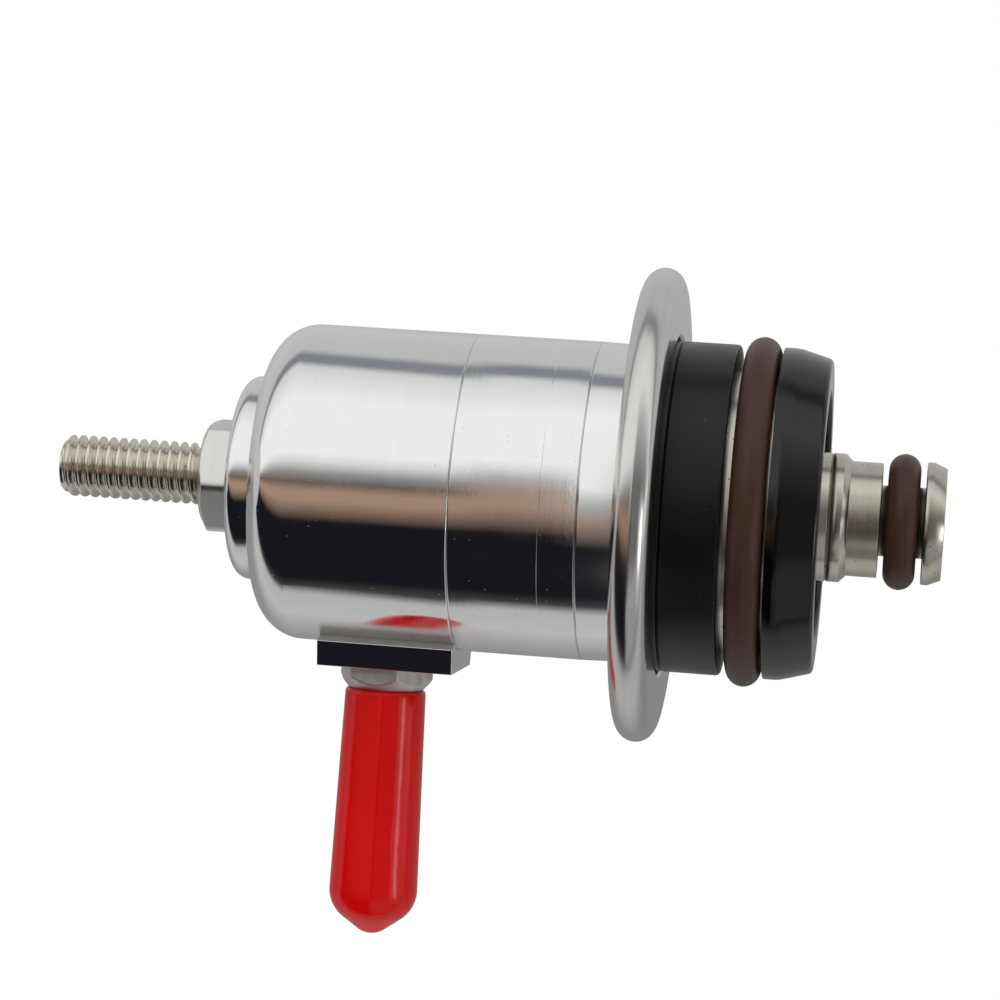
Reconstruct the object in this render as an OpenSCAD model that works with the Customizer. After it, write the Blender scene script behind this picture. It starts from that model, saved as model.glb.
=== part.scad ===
// Adjustable fuel pressure regulator that plugs into a fuel rail.
// X runs along the axis from the adjusting screw to the outlet, Z is up and the vacuum port points down.
// The origin is on the axis, in the plane of the flange face that seats on the rail.

/* [Housing] */
// Outer radius of the cover and the sleeve
body_r = 15; // [14:0.1:17]
// Wall between the outside and the spring chamber
housing_wall = 3.2; // [2.8:0.1:3.8]
// Length of the cover from its open end to its shoulder
cover_len = 19.36; // [17:0.02:26]
// Rounding of the cover's shoulder
shoulder_round = 4.2; // [2:0.1:5]
// Thickness of the cover's end behind its shoulder
shoulder_wall = 1.7; // [1.2:0.1:3]
// Radius of the boss under the lock nut
boss_r = 9.7; // [8:0.1:10.5]
// Height of the boss above the shoulder
boss_h = 2.7; // [2:0.1:5]
// Rounding of the boss's rim
boss_round = 1.3; // [0.5:0.1:1.9]
// Length of the sleeve between its two seams
sleeve_len = 11.67; // [8:0.01:16]
// Length of the spigots that join cover, sleeve and shell
spigot_len = 3.2; // [2.4:0.1:4]
// Depth of those spigots below the outside
spigot_step = 1.4; // [1.2:0.1:1.6]
// Section of the seal on the sleeve's spigot
cover_seal_d = 0.9; // [0.7:0.05:1]
// Broken edge at each seam
edge_break = 0.15; // [0.05:0.05:0.3]

/* [Vacuum port] */
// Length of the port pad, back from the cover's open end
pad_len = 12.8; // [12:0.1:15]
// Width of the port pad's face
pad_w = 11.6; // [10:0.1:13]
// Rise of the port pad above the cover's outside
pad_rise = 1.9; // [1.2:0.1:3]
// Height of the pad's sides
pad_side_h = 2.4; // [1:0.05:2.8]
// Draft of those sides, which makes the pad wider towards the cover
pad_draft = 15; // [0:1:25]
// Slope of the bevel from the pad's sides to the cover
pad_bevel = 20; // [18:1:86]
// Distance from the cover's open end to the nipple's axis
nipple_back = 7.1; // [6.6:0.1:8]
// Width across the flats of the nipple's hexagon
nipple_af = 8; // [7:0.5:9]
// Height of the nipple's hexagon
nipple_hex_h = 2.2; // [1.5:0.1:4]
// Angle of the nipple's front flat from square
nipple_turn = 8; // [0:1:59]
// Radius of the nipple's threaded end
nipple_thread_r = 2.9; // [2.4:0.1:3.2]
// Radius of the hose tube
hose_r = 2.2; // [1.8:0.1:2.4]
// Radius of the hose barb's land
barb_r = 2.7; // [2.5:0.05:2.9]
// Length of the hose tube below the hexagon, with its barb
hose_len = 13.6; // [11:0.1:18]
// Radius of the vacuum passage
vacuum_r = 1.1; // [0.6:0.1:1.3]

/* [Protective cap] */
// Outer radius of the cap at its mouth
cap_mouth_r = 3.83; // [3.6:0.01:4.2]
// Largest outer radius of the cap
cap_belly_r = 4.2; // [4:0.05:5]
// Length of the cap
cap_len = 23.5; // [20:0.1:30]
// Length of the cap's tapered end
cap_taper = 4.2; // [3.6:0.1:5]
// Rounding where the tapered end starts
cap_shoulder_round = 3.3; // [2:0.1:3.4]
// Rounding of the cap's tip
cap_nose_round = 2.3; // [1:0.1:2.5]
// Rounding of the cap's mouth
cap_lip = 0.45; // [0.2:0.05:0.45]

/* [Adjuster] */
// Radius over the adjusting screw's thread
screw_r = 2.95; // [2.45:0.05:3.45]
// Length of the screw outside the lock nut
screw_out = 14.1; // [8:0.02:18]
// Chamfer at the screw's ends
screw_chamfer = 0.55; // [0.2:0.05:0.6]
// Width across the flats of the screw's key socket
key_af = 3; // [2:0.5:3]
// Depth of the key socket
key_depth = 3.2; // [2:0.1:5]
// Width across the flats of the lock nut
nut_af = 10; // [9:0.5:11]
// Thickness of the lock nut
nut_t = 3.5; // [2.4:0.1:5]
// Angle of the nut's front flat above level
nut_turn = 21; // [0:1:59]
// Room behind the upper spring seat for backing the screw out
seat_room = 2.3; // [2.2:0.1:3]
// Depth of the screw's end in the upper spring seat
socket_depth = 1; // [0.6:0.1:1.2]
// Thickness of the upper spring seat's disc
seat_t = 1.8; // [1.2:0.1:2.5]

/* [Spring and valve] */
// Wire diameter of the pressure spring
spring_wire = 2.2; // [1.6:0.1:2.4]
// Mean radius of the pressure spring
spring_r = 8.6; // [8:0.1:8.8]
// Number of turns of the pressure spring
spring_turns = 7.5; // [6:0.5:8]
// Radius of the lower spring seat
plate_r = 10.2; // [10:0.1:10.6]
// Thickness of the lower spring seat
plate_t = 1.2; // [0.8:0.1:1.6]
// Thickness of the diaphragm
diaphragm_t = 0.6; // [0.4:0.05:0.8]
// Mean radius of the diaphragm's rolled fold
fold_r = 1; // [0.7:0.05:1]
// Radius of the washer under the diaphragm
washer_r = 9.5; // [8:0.1:10]
// Thickness of that washer
washer_t = 0.8; // [0.5:0.1:1.2]
// Radius of the valve holder
holder_r = 4.6; // [4.4:0.1:5.2]
// Length of the valve holder below the washer
holder_len = 4.9; // [3.5:0.1:6]
// Radius of the valve holder's riveted shank
shank_r = 2.5; // [2:0.1:2.8]
// Radius of the rivet head on that shank
head_r = 3.6; // [3.2:0.1:4.2]
// Thickness of the rivet head
head_t = 0.8; // [0.5:0.1:1.2]
// Radius of the valve disc
valve_r = 3.6; // [3.2:0.1:3.8]
// Thickness of the valve disc
valve_t = 2; // [1.4:0.1:2.6]

/* [Flange] */
// Outer radius of the flange
flange_r = 22.25; // [21.5:0.05:25]
// Sheet thickness of the clamp shell
shell_t = 0.9; // [0.7:0.05:1.2]
// Thickness of the hem that is rolled over the base cup
hem_t = 1.1; // [0.7:0.05:1.4]
// Gap between the front support ring and the hem
hem_gap = 0.4; // [0.2:0.1:2.8]
// Length of the shell's collar between the sleeve and the flange
collar_len = 3.69; // [3:0.01:6]
// How much the collar narrows towards the flange, on the radius
collar_taper = 0.1; // [0:0.05:0.2]
// Rounding between the collar and the flange
collar_fillet = 0.6; // [0.2:0.1:1]

/* [Rail end] */
// Outer radius of the base cup
cup_r = 13.1; // [12.8:0.1:13.6]
// Sheet thickness of the base cup
sheet_t = 0.9; // [0.7:0.05:1.2]
// Wall of the two support rings round the base cup
ring_wall = 2.38; // [1.8:0.02:2.8]
// Length of the front support ring
front_ring_len = 6.74; // [5:0.01:9]
// Distance of the front ring's fine groove from its flange end
ring_groove_at = 1.3; // [1:0.05:2]
// Width and depth of that groove
ring_groove = 0.2; // [0.1:0.05:0.3]
// Section of the large seal ring
large_seal_d = 3.25; // [2.8:0.05:3.6]
// Gap between the front support ring and the large seal ring
seal_front_gap = 0.6; // [0.2:0.01:1]
// Gap between the large seal ring and the rear support ring
seal_gap = 0.25; // [0.2:0.01:0.6]
// Length of the rear support ring
rear_ring_len = 4.55; // [4:0.05:6]
// Length of the rear ring's straight part
rear_ring_flat = 1.4; // [0.5:0.1:2]
// How much the rear ring narrows towards its end, on the radius
rear_ring_taper = 0.75; // [0.3:0.05:1]
// Rounding of the rear ring's end
rear_ring_round = 0.5; // [0.2:0.05:0.6]
// Thickness of the rear ring's inner lip
lip_t = 0.8; // [0.6:0.1:1.2]
// Width of the rear ring's inner lip
lip_w = 1.5; // [1:0.1:2]
// Thickness of the inlet screen
screen_t = 0.35; // [0.2:0.05:0.6]
// Number of inlet holes in the cup's end
inlet_count = 6; // [3:1:8]
// Radius of each inlet hole
inlet_r = 1.6; // [1:0.1:1.8]
// Wall of the cup's neck around the stem
neck_wall = 0.63; // [0.4:0.01:0.9]
// Length of that neck beyond the cup's end
neck_len = 3.55; // [2:0.05:4]
// Radius of the outlet stem
stem_r = 5.35; // [5:0.05:5.8]
// Length from the cup's end to the stem's seal groove
stem_out = 6.4; // [5:0.1:9]
// Width of the seal groove
seal_groove_w = 4.05; // [3.9:0.05:5]
// Radius at the bottom of the seal groove
seal_groove_r = 3.3; // [3.1:0.1:3.6]
// Section of the small seal ring
small_seal_d = 3.03; // [2.6:0.01:3.4]
// Radius of the stem's end flange
tip_r = 5.7; // [5.3:0.05:6]
// Thickness of the stem's end flange
tip_t = 1.85; // [1.4:0.05:3]
// Straight part of the end flange
tip_land = 0.7; // [0.4:0.05:1]
// How much the end flange narrows to its end, on the radius
tip_taper = 0.5; // [0.2:0.05:0.8]
// Radius of the outlet bore
outlet_r = 2; // [1.6:0.1:2.4]

/* [Hidden] */
$fn = 96;

// Clearance between pieces that are fixed to each other
fit = 0.02;
// Radial clearance of a piece that turns or slides in another
run = 0.05;
// Gap between faces that touch and move apart
face_gap = 0.02;
// Room round a piece that is laid in loosely
slack = 0.1;
// Overlap of a cut past the face that it opens
past = 1;

// Places along X, from the rail seat back to the screw's tip
rim_t = shell_t + diaphragm_t + sheet_t + hem_t;
cup_face = -hem_t;
diaphragm_low = cup_face - sheet_t;
plate_low = diaphragm_low - diaphragm_t;
seam_b = -rim_t - collar_len;
seam_a = seam_b - sleeve_len;
shoulder_x = seam_a - cover_len;
boss_x = shoulder_x - boss_h;
chamber_end = shoulder_x + shoulder_wall;
nut_low = boss_x - face_gap;
tip_x = nut_low - nut_t - screw_out;
seat_hub_x = chamber_end + seat_room;
screw_end = seat_hub_x + socket_depth - face_gap;
socket_floor = 0.2;
seat_disc_x = seat_hub_x + socket_depth + socket_floor;
spring_high = seat_disc_x + seat_t;
spring_low = plate_low - plate_t;

// Places along X, from the rail seat out to the stem's tip
holder_x = diaphragm_low + washer_t;
valve_stand = 0.6;
valve_face = holder_x + holder_len + valve_stand;
stem_x = valve_face + face_gap;
front_ring_end = cup_face + front_ring_len;
large_seal_x = front_ring_end + seal_front_gap + large_seal_d / 2;
rear_ring_x = large_seal_x + large_seal_d / 2 + seal_gap;
rear_ring_end = rear_ring_x + rear_ring_len;
screen_x = rear_ring_end - lip_t - screen_t;
cup_end = screen_x;
neck_end = cup_end + neck_len;
seal_groove_x = cup_end + stem_out;
small_seal_x = seal_groove_x + seal_groove_w / 2;
stem_tip_x = seal_groove_x + seal_groove_w;
stem_end = stem_tip_x + tip_t;

// Radii that follow from the ones above
chamber_r = body_r - housing_wall;
joint_r = body_r - spigot_step;
hole_r = screw_r + run;
seat_rim = 0.6;
seat_r = spring_r + spring_wire / 2 + seat_rim;
seat_hub_r = hole_r + 2;
guide_r = spring_r - spring_wire / 2 - 3 * slack;
guide_wall = 1.4;
guide_h = 1.5;
fold_out = fold_r + diaphragm_t / 2;
fold_mid = plate_r + slack + fold_out;
shell_bore = fold_mid + fold_out + slack;
pocket_r = flange_r - rim_t / 2;
ring_r = cup_r + fit + ring_wall;
hem_r = ring_r + hem_gap;
cup_inner = cup_r - sheet_t;
neck_r = stem_r + fit + neck_wall;
nose_wall = 0.9;
nose_r = outlet_r + nose_wall;
nose_len = 2.5;
inlet_at = (neck_r + cup_inner) / 2;

// Places of the vacuum port, along -Z
nipple_x = seam_a - nipple_back;
pad_face = body_r + pad_rise;
thread_len = pad_face - joint_r - slack;
hex_low = pad_face + nipple_hex_h;
barb_land = 1.2;
barb_taper = 2.6;
cap_top = hex_low + face_gap;
cap_bore_r = barb_r + run;
cap_room = 1.4;
cap_bore_len = hose_len + cap_room;

// A profile drawn as (radius, place along X), turned about X
module turned() {
    rotate([0, 90, 0]) rotate_extrude() children();
}

// Points of an arc about a centre, between two angles
function arc(centre, r, from, to, steps = 10) = [
    for (i = [0 : steps]) let (a = from + (to - from) * i / steps) centre + r * [cos(a), sin(a)]
];

// A rectangle from radius r0 to r1 and from x0 to x1
module band(r0, r1, x0, x1) {
    translate([r0, x0]) square([r1 - r0, x1 - x0]);
}

// The same rectangle with its outer corner at x0 rounded
module rounded_band(r0, r1, x0, x1, round) {
    band(r0, r1 - round, x0, x1);
    band(r0, r1, x0 + round, x1);
    translate([r1 - round, x0 + round]) circle(round);
}

// A triangle that breaks the outer edge at radius r and place x, towards x + size
module edge_cut(r, x, size) {
    polygon([[r - abs(size), x], [r + past, x], [r + past, x + size], [r, x + size]]);
}

// A ring of round section about X
module seal_ring(x, mid_r, d) {
    translate([x, 0, 0]) rotate([0, 90, 0]) rotate_extrude() translate([mid_r, 0]) circle(d / 2);
}

// A hexagonal bar along Z between two heights, with its corners turned off at a slope to a radius at each end
module hexagon(af, z0, z1, slope, low_r, high_r) {
    corner = af / sqrt(3);
    low_off = (corner - low_r) * tan(slope);
    top_off = (corner - high_r) * tan(slope);
    intersection() {
        translate([0, 0, z0]) cylinder(r = corner, h = z1 - z0, $fn = 6);
        rotate_extrude() polygon([
            [0, z0], [low_r, z0], [corner, z0 + low_off], [corner, z1 - top_off], [high_r, z1], [0, z1]
        ]);
    }
}

// Cover with the spring chamber, the boss for the lock nut and the pad for the vacuum port
module upper_cover() {
    side_low = pad_face - pad_side_h;
    face_half = pad_w / 2;
    side_half = face_half + pad_side_h * tan(pad_draft);
    root_half = max(nipple_thread_r, side_half - (side_low - joint_r) / tan(pad_bevel));
    color("#d6d8da") difference() {
        union() {
            turned() difference() {
                union() {
                    rounded_band(0, body_r, shoulder_x, seam_a, shoulder_round);
                    rounded_band(0, boss_r, boss_x, shoulder_x + shoulder_round, boss_round);
                }
                edge_cut(body_r, seam_a, -edge_break);
            }
            translate([seam_a - pad_len, 0, 0]) rotate([90, 0, 90]) linear_extrude(pad_len) polygon([
                [-face_half, -pad_face],
                [face_half, -pad_face],
                [side_half, -side_low],
                [root_half, -joint_r],
                [-root_half, -joint_r],
                [-side_half, -side_low]
            ]);
        }
        turned() {
            chamfer = 2;
            polygon([
                [0, chamber_end], [chamber_r - chamfer, chamber_end], [chamber_r, chamber_end + chamfer],
                [chamber_r, seam_a + past], [0, seam_a + past]
            ]);
            band(0, joint_r, seam_a - spigot_len - 2 * slack, seam_a + past);
            band(0, hole_r, boss_x - past, chamber_end + past);
        }
        translate([nipple_x, 0, -pad_face - past])
            cylinder(r = nipple_thread_r + fit, h = thread_len + past + run);
        translate([nipple_x, 0, -pad_face]) cylinder(r = vacuum_r + 2 * slack, h = pad_face);
    }
}

// Seal between the cover and the sleeve
module cover_seal() {
    color("#4a2f28")
        seal_ring(seam_a - spigot_len / 2, joint_r - 2 * fit - cover_seal_d / 2, cover_seal_d);
}

// Middle of the housing, with a spigot into the cover and a socket for the shell
module body_sleeve() {
    groove_depth = cover_seal_d + run;
    groove_w = cover_seal_d + 3 * slack;
    color("#d0d2d4") turned() difference() {
        union() {
            band(chamber_r, body_r, seam_a, seam_b);
            band(chamber_r, joint_r - fit, seam_a - spigot_len, seam_a + past);
        }
        edge_cut(body_r, seam_a, edge_break);
        edge_cut(body_r, seam_b, -edge_break);
        band(0, joint_r, seam_b - spigot_len - 2 * slack, seam_b + past);
        translate([joint_r - fit - groove_depth, seam_a - spigot_len / 2 - groove_w / 2])
            square([groove_depth + past, groove_w]);
    }
}

// Steel shell: neck into the sleeve, collar, flange and the hem rolled over the base cup
module clamp_shell() {
    bore_step = 0.5;
    color("#b9bab8") turned() difference() {
        union() {
            band(chamber_r, joint_r - fit, seam_b - spigot_len, seam_b + past);
            polygon([
                [chamber_r, seam_b], [body_r, seam_b], [body_r - collar_taper, -rim_t],
                [body_r - collar_taper, -rim_t + shell_t], [chamber_r, -rim_t + shell_t]
            ]);
            band(chamber_r, pocket_r, -rim_t, 0);
            translate([pocket_r, -rim_t / 2]) circle(rim_t / 2);
            difference() {
                band(chamber_r, body_r - collar_taper + collar_fillet, -rim_t - collar_fillet, -rim_t + shell_t);
                translate([body_r - collar_taper + collar_fillet, -rim_t - collar_fillet])
                    circle(collar_fillet);
            }
        }
        edge_cut(body_r, seam_b, edge_break);
        band(0, shell_bore, seam_b + bore_step, past);
        band(0, pocket_r, plate_low, cup_face);
        band(0, hem_r, plate_low, past);
    }
}

// Adjusting screw with a key socket in its outer end
module adjusting_screw() {
    color("#b5ada2") difference() {
        turned() polygon([
            [0, tip_x], [screw_r - screw_chamfer, tip_x], [screw_r, tip_x + screw_chamfer],
            [screw_r, screw_end - screw_chamfer], [screw_r - screw_chamfer, screw_end], [0, screw_end]
        ]);
        translate([tip_x - past, 0, 0]) rotate([0, 90, 0])
            cylinder(r = key_af / sqrt(3), h = key_depth + past, $fn = 6);
    }
}

// Thin lock nut that clamps the adjusting screw against the boss
module lock_nut() {
    face_r = 0.92 * nut_af / 2;
    face_slope = 30;
    color("#d9d9d4") difference() {
        rotate([nut_turn - 90, 0, 0]) rotate([0, 90, 0]) rotate([0, 0, 30])
            hexagon(nut_af, nut_low - nut_t, nut_low, face_slope, face_r, face_r);
        turned() band(0, hole_r, nut_low - nut_t - past, nut_low + past);
    }
}

// Seat that the screw pushes against the spring
module upper_spring_seat() {
    color("#a9a9a6") turned() difference() {
        union() {
            band(0, seat_hub_r, seat_hub_x, spring_high);
            band(0, seat_r, seat_disc_x, spring_high);
            band(guide_r - guide_wall, guide_r, seat_disc_x, spring_high + guide_h);
        }
        band(0, hole_r, seat_hub_x - past, seat_hub_x + socket_depth);
    }
}

// Coil spring with closed ends, swept along its helix
module pressure_spring() {
    steps = 24;
    sides = 8;
    closed = 1;
    wire_r = (spring_wire - fit) / 2;
    count = floor(spring_turns * steps);
    coil_gap = 0.15;
    close_pitch = spring_wire + coil_gap;
    open_pitch = (spring_low - spring_high - spring_wire - 2 * closed * close_pitch)
        / (spring_turns - 2 * closed);
    function along(turn) =
        turn < closed ? turn * close_pitch
        : turn > spring_turns - closed
            ? closed * close_pitch + (spring_turns - 2 * closed) * open_pitch
                + (turn - spring_turns + closed) * close_pitch
            : closed * close_pitch + (turn - closed) * open_pitch;
    function ring_point(i, j) = let (
        turn = i / steps,
        around = 360 * turn,
        tilt = 360 * j / sides,
        out = spring_r + wire_r * cos(tilt)
    ) [
        spring_high + spring_wire / 2 + along(turn) + wire_r * sin(tilt),
        out * cos(around),
        out * sin(around)
    ];
    points = [for (i = [0 : count]) for (j = [0 : sides - 1]) ring_point(i, j)];
    walls = [for (i = [0 : count - 1]) for (j = [0 : sides - 1]) let (k = (j + 1) % sides)
        [i * sides + j, (i + 1) * sides + j, (i + 1) * sides + k, i * sides + k]];
    first = [for (j = [0 : sides - 1]) j];
    last = [for (j = [sides - 1 : -1 : 0]) count * sides + j];
    color("#8f8f8c") polyhedron(points, concat(walls, [first], [last]), convexity = 10);
}

// Plate on the dry side of the diaphragm, which carries the spring
module lower_spring_seat() {
    color("#a9a9a6") turned() {
        band(shank_r + fit, plate_r, spring_low, plate_low);
        band(guide_r - guide_wall, guide_r, spring_low - guide_h, plate_low);
    }
}

// Diaphragm clamped in the flange, with a rolled fold round its plates
module diaphragm() {
    middle = diaphragm_low - diaphragm_t / 2;
    color("#2e2b2a") turned() {
        band(shank_r + fit, fold_mid - fold_r + diaphragm_t / 2, plate_low, diaphragm_low);
        band(fold_mid + fold_r - diaphragm_t / 2, pocket_r - slack, plate_low, diaphragm_low);
        intersection() {
            translate([fold_mid, middle]) difference() {
                circle(fold_out);
                circle(fold_r - diaphragm_t / 2);
            }
            band(0, pocket_r, middle - fold_out - past, middle);
        }
    }
}

// Washer on the wet side of the diaphragm
module diaphragm_washer() {
    color("#a3a3a0") turned() band(shank_r + fit, washer_r, diaphragm_low, diaphragm_low + washer_t);
}

// Valve holder, riveted through the diaphragm and its plates
module valve_holder() {
    holder_end = holder_x + holder_len;
    color("#9c9a94") turned() difference() {
        union() {
            band(0, holder_r, holder_x, holder_end);
            band(0, shank_r, spring_low - head_t, holder_x + past);
            band(0, head_r, spring_low - head_t, spring_low);
        }
        band(0, valve_r + fit, valve_face - valve_t, holder_end + past);
    }
}

// Disc that closes the outlet stem
module valve_disc() {
    color("#6f6a62") turned() band(0, valve_r, valve_face - valve_t, valve_face);
}

// Drawn steel cup: clamped flange, wall, end with inlet holes and neck round the stem
module base_cup() {
    corner = 0.8;
    neck_chamfer = 0.92 * neck_wall;
    color("#c3c3c0") difference() {
        turned() difference() {
            union() {
                band(cup_inner, pocket_r - slack, diaphragm_low, cup_face);
                mirror([0, 1]) rounded_band(0, cup_r, -cup_end, -diaphragm_low, corner);
                polygon([
                    [0, cup_end - sheet_t], [neck_r, cup_end - sheet_t], [neck_r, neck_end - neck_chamfer],
                    [neck_r - neck_chamfer, neck_end], [0, neck_end]
                ]);
            }
            band(0, cup_inner, diaphragm_low - past, cup_end - sheet_t);
            band(0, stem_r + fit, diaphragm_low, neck_end + past);
        }
        for (i = [0 : inlet_count - 1]) rotate([360 * i / inlet_count, 0, 0])
            translate([cup_end - sheet_t - past, 0, inlet_at]) rotate([0, 90, 0])
                cylinder(r = inlet_r, h = sheet_t + 2 * past);
    }
}

// Outlet stem: valve seat at its inner end, seal groove and flange at its outer end
module outlet_stem() {
    mouth = 0.5;
    color("#b8b2a8") turned() difference() {
        union() {
            polygon([
                [0, stem_x], [nose_r, stem_x], [stem_r, stem_x + nose_len], [stem_r, seal_groove_x],
                [0, seal_groove_x]
            ]);
            band(0, seal_groove_r, seal_groove_x - past, stem_tip_x + past);
            polygon([
                [0, stem_tip_x], [tip_r, stem_tip_x], [tip_r, stem_tip_x + tip_land],
                [tip_r - tip_taper, stem_end], [0, stem_end]
            ]);
        }
        band(0, outlet_r, stem_x - past, stem_end + past);
        polygon([
            [0, stem_end - mouth], [outlet_r, stem_end - mouth], [outlet_r + mouth, stem_end],
            [outlet_r + mouth, stem_end + past], [0, stem_end + past]
        ]);
    }
}

// Black support ring between the flange and the large seal ring
module front_support_ring() {
    color("#2c2a2b") turned() difference() {
        band(cup_r + fit, ring_r, cup_face, front_ring_end);
        translate([ring_r - ring_groove, cup_face + ring_groove_at])
            square([ring_groove + past, ring_groove]);
    }
}

// Large seal ring that seals the regulator in the rail
module large_seal_ring() {
    color("#4b342d") seal_ring(large_seal_x, cup_r + fit + large_seal_d / 2, large_seal_d);
}

// Black support ring at the cup's end, with a lip that holds the screen
module rear_support_ring() {
    end_r = ring_r - rear_ring_taper;
    color("#262425") turned() difference() {
        union() {
            polygon([
                [cup_r + fit, rear_ring_x], [ring_r, rear_ring_x], [ring_r, rear_ring_x + rear_ring_flat],
                [end_r, rear_ring_end - rear_ring_round], [cup_r + fit, rear_ring_end - rear_ring_round]
            ]);
            mirror([0, 1])
                rounded_band(cup_r - lip_w, end_r, -rear_ring_end, -rear_ring_end + lip_t, rear_ring_round);
        }
        band(0, cup_r + fit, rear_ring_x - past, screen_x + screen_t);
    }
}

// Fine screen over the inlet holes
module inlet_screen() {
    color("#8d8a80") turned() band(neck_r + fit, cup_r - slack, screen_x, screen_x + screen_t);
}

// Small seal ring in the stem's groove
module small_seal_ring() {
    color("#4b342d") seal_ring(small_seal_x, seal_groove_r + fit + small_seal_d / 2, small_seal_d);
}

// Vacuum nipple: thread into the pad, hexagon and barbed hose tube
module vacuum_nipple() {
    hose_end = hex_low + hose_len;
    land_low = hose_end - barb_taper;
    tip_wall = 0.6;
    face_r = 0.89 * nipple_af / 2;
    face_slope = 48;
    color("#d3d3d0") translate([nipple_x, 0, 0]) difference() {
        union() {
            translate([0, 0, -pad_face - past]) cylinder(r = nipple_thread_r, h = thread_len + past);
            rotate([0, 0, -nipple_turn])
                hexagon(nipple_af, -hex_low, -pad_face, face_slope, face_r, nipple_af / sqrt(3));
            rotate_extrude() polygon([
                [0, -hex_low + past], [hose_r, -hex_low + past], [hose_r, -land_low + 2 * barb_land],
                [barb_r, -land_low + barb_land], [barb_r, -land_low], [vacuum_r + tip_wall, -hose_end],
                [0, -hose_end]
            ]);
        }
        translate([0, 0, -hose_end - past]) cylinder(r = vacuum_r, h = hose_end + past);
    }
}

// Soft cap over the nipple, pulled off before use
module protective_cap() {
    lip = [cap_mouth_r - cap_lip, -cap_top - cap_lip];
    shoulder = [cap_belly_r - cap_shoulder_round, -cap_top - cap_len + cap_taper];
    nose = [0, -cap_top - cap_len + cap_nose_round];
    between = shoulder - nose;
    normal_turn = atan2(between.y, between.x) - acos((cap_nose_round - cap_shoulder_round) / norm(between));
    color("#b80a06") translate([nipple_x, 0, 0]) rotate_extrude() polygon(concat(
        [[cap_bore_r, -cap_top]],
        arc(lip, cap_lip, 90, 0),
        arc(shoulder, cap_shoulder_round, 0, normal_turn),
        arc(nose, cap_nose_round, normal_turn, -90),
        [[0, -cap_top - cap_bore_len], [cap_bore_r, -cap_top - cap_bore_len]]
    ));
}

upper_cover();
cover_seal();
body_sleeve();
clamp_shell();
adjusting_screw();
lock_nut();
upper_spring_seat();
pressure_spring();
lower_spring_seat();
diaphragm();
diaphragm_washer();
valve_holder();
valve_disc();
base_cup();
outlet_stem();
front_support_ring();
large_seal_ring();
rear_support_ring();
inlet_screen();
small_seal_ring();
vacuum_nipple();
protective_cap();
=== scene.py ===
"""Looks of an adjustable fuel pressure regulator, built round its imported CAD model.

X runs along the axis from the adjusting screw to the outlet stem, Z is up, and sizes are in millimetres
until a mesh is made, because the frame is in metres.
"""
import math

import bmesh
import bpy
from mathutils import Matrix, Vector


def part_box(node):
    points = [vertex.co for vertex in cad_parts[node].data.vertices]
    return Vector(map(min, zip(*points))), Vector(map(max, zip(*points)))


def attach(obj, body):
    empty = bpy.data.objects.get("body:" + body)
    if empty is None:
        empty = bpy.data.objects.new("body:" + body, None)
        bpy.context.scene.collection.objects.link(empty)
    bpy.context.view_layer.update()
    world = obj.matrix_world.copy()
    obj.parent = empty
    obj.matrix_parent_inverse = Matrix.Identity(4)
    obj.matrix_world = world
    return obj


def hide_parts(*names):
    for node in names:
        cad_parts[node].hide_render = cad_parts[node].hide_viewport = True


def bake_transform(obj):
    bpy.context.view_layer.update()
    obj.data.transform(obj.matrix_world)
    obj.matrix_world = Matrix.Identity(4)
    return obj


MM = 0.001
AXIS_X = Vector((1, 0, 0))
AXIS_Z = Vector((0, 0, 1))
SHARP_ANGLE = math.radians(40)
# In metres: points this near are merged, and edges this short are dropped
SAME_PLACE = 1e-7
NO_LENGTH = 1e-8

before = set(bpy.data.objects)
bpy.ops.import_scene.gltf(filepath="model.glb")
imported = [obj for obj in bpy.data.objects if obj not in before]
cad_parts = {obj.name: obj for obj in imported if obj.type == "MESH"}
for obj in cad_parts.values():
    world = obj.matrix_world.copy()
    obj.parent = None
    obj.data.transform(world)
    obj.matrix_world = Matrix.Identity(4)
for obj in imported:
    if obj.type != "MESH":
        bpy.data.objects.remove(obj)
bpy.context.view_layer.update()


# Shader maths


class Value:
    """A socket of a finish that takes part in sums written as Python expressions."""

    def __init__(self, finish, socket):
        self.finish = finish
        self.socket = socket

    def _math(self, operation, first, second=0.0):
        return self.finish.node("Math", {"operation": operation}, {0: first, 1: second})

    def __add__(self, other):
        return self._math("ADD", self, other)

    __radd__ = __add__

    def __sub__(self, other):
        return self._math("SUBTRACT", self, other)

    def __mul__(self, other):
        return self._math("MULTIPLY", self, other)

    __rmul__ = __mul__

    def __truediv__(self, other):
        return self._math("DIVIDE", self, other)

    def __lt__(self, other):
        return self._math("LESS_THAN", self, other)

    def most(self, other):
        return self._math("MAXIMUM", self, other)

    def angle_over(self, other):
        return self._math("ARCTAN2", self, other)


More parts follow.
